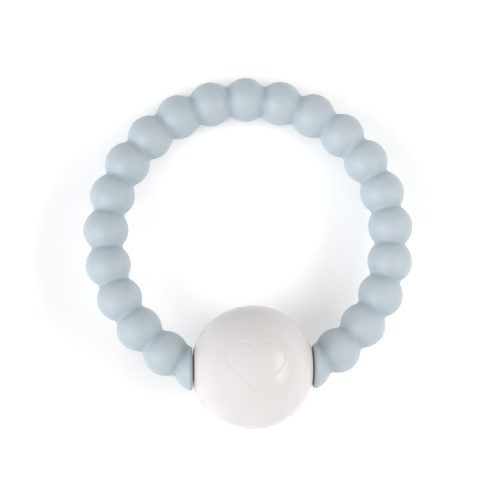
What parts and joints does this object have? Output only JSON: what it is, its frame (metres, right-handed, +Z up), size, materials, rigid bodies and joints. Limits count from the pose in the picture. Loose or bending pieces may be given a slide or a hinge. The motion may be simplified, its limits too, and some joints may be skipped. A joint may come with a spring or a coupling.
{
  "type": "teething ring",
  "caption": "Baby's teething ring: a soft silicone ring of fused round beads whose ends turn in a smooth hollow ball that holds loose rattle pellets.",
  "frame": {"origin": "middle of the object's length and width, on the table that it lies on", "axes": "+Z up from the table; +Y from the ball to the far end of the ring; +X to the right, along the line through the ring's two ends that the ball turns on"},
  "size_m": [0.097, 0.1041, 0.0359],
  "materials": {
    "silicone": "matte",
    "ball_plastic": "satin",
    "pellet_plastic": "gloss"
  },
  "bodies": {
    "ring": {"beaded_ring": "silicone"},
    "ball": {"ball_front_shell": "ball_plastic", "ball_rear_shell": "ball_plastic"},
    "pellet_1": {"rattle_pellet_1": "pellet_plastic"},
    "pellet_2": {"rattle_pellet_2": "pellet_plastic"},
    "pellet_3": {"rattle_pellet_3": "pellet_plastic"},
    "pellet_4": {"rattle_pellet_4": "pellet_plastic"},
    "pellet_5": {"rattle_pellet_5": "pellet_plastic"},
    "pellet_6": {"rattle_pellet_6": "pellet_plastic"},
    "pellet_7": {"rattle_pellet_7": "pellet_plastic"}
  },
  "joints": [
    {"name": "ball_spin", "type": "hinge", "parent": "ring", "child": "ball", "pos_m": [0, -0.03411, 0.018], "axis": [1, 0, 0], "continuous": true},
    {"name": "pellet_1_tumble", "type": "slide", "parent": "ball", "child": "pellet_1", "axis": [0, 0, 1], "range_m": [0, 0.0265]},
    {"name": "pellet_2_tumble", "type": "slide", "parent": "ball", "child": "pellet_2", "axis": [0, 0, 1], "range_m": [0, 0.0251]},
    {"name": "pellet_3_tumble", "type": "slide", "parent": "ball", "child": "pellet_3", "axis": [0, 0, 1], "range_m": [0, 0.0251]},
    {"name": "pellet_4_tumble", "type": "slide", "parent": "ball", "child": "pellet_4", "axis": [0, 0, 1], "range_m": [0, 0.0251]},
    {"name": "pellet_5_tumble", "type": "slide", "parent": "ball", "child": "pellet_5", "axis": [0, 0, 1], "range_m": [0, 0.0251]},
    {"name": "pellet_6_tumble", "type": "slide", "parent": "ball", "child": "pellet_6", "axis": [0, 0, 1], "range_m": [0, 0.0251]},
    {"name": "pellet_7_tumble", "type": "slide", "parent": "ball", "child": "pellet_7", "axis": [0, 0, 1], "range_m": [0, 0.0251]}
  ]
}
